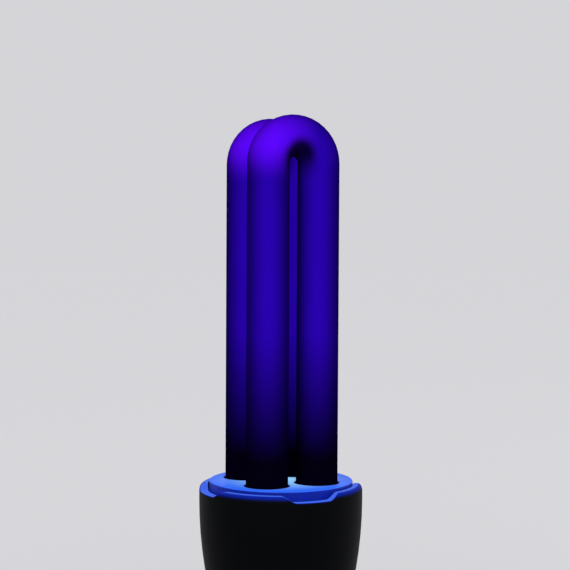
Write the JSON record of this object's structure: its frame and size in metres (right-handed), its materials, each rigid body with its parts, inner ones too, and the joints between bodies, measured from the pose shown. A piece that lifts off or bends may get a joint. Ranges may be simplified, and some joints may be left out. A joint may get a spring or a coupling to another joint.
{
  "type": "black light compact fluorescent lamp",
  "caption": "Black light lamp with U-bent violet glass tubes side by side in a round holder, a tapered ballast housing with a castellated rim, and a screw cap.",
  "frame": {"origin": "tip of the centre contact, on the axis of the screw cap", "axes": "+Z along the axis from the screw cap to the bends of the tubes; the legs of one U are spaced along X and the two U's along Y"},
  "size_m": [0.0472, 0.0472, 0.1749],
  "materials": {
    "lit_violet_glass": "glossy dark violet glass, glowing",
    "holder_plastic": "smooth pale plastic, glowing blue in ultraviolet light",
    "housing_plastic": "satin moulded plastic",
    "cap_metal": "bright rolled sheet metal",
    "cap_glass": "black insulating glass",
    "contact_metal": "tinned, slightly dull",
    "cement": "dry white cement",
    "board": "paper laminate",
    "ferrite": "dull grey ferrite",
    "bobbin_plastic": "moulded plastic",
    "copper_wire": "enamelled wire",
    "can_sleeve": "shrink sleeve",
    "film_capacitor": "dipped resin",
    "component_black": "moulded epoxy",
    "wire_cover": "insulated wire",
    "tinned_metal": "tinned wire"
  },
  "bodies": {
    "root": {"discharge_tube": "lit_violet_glass", "tube_holder": "holder_plastic", "ballast_housing": "housing_plastic", "screw_shell": "cap_metal", "cap_insulator": "cap_glass", "centre_contact": "contact_metal", "tube_cement": "cement", "circuit_board": "board", "choke_core": "ferrite", "choke_bobbin": "bobbin_plastic", "choke_winding": "copper_wire", "smoothing_capacitor": "can_sleeve", "drive_toroid": "ferrite", "resonant_capacitor": "film_capacitor", "coupling_capacitor": "film_capacitor", "filter_capacitor": "film_capacitor", "trigger_diode": "component_black", "fuse_resistor": "component_black", "live_wire": "wire_cover", "neutral_wire": "wire_cover", "transistor_1": "component_black", "transistor_2": "component_black", "rectifier_diode_1": "component_black", "electrode_lead_1": "tinned_metal", "wrap_pin_1": "tinned_metal", "rectifier_diode_2": "component_black", "electrode_lead_2": "tinned_metal", "wrap_pin_2": "tinned_metal", "rectifier_diode_3": "component_black", "electrode_lead_3": "tinned_metal", "wrap_pin_3": "tinned_metal", "rectifier_diode_4": "component_black", "electrode_lead_4": "tinned_metal", "wrap_pin_4": "tinned_metal"}
  },
  "joints": []
}
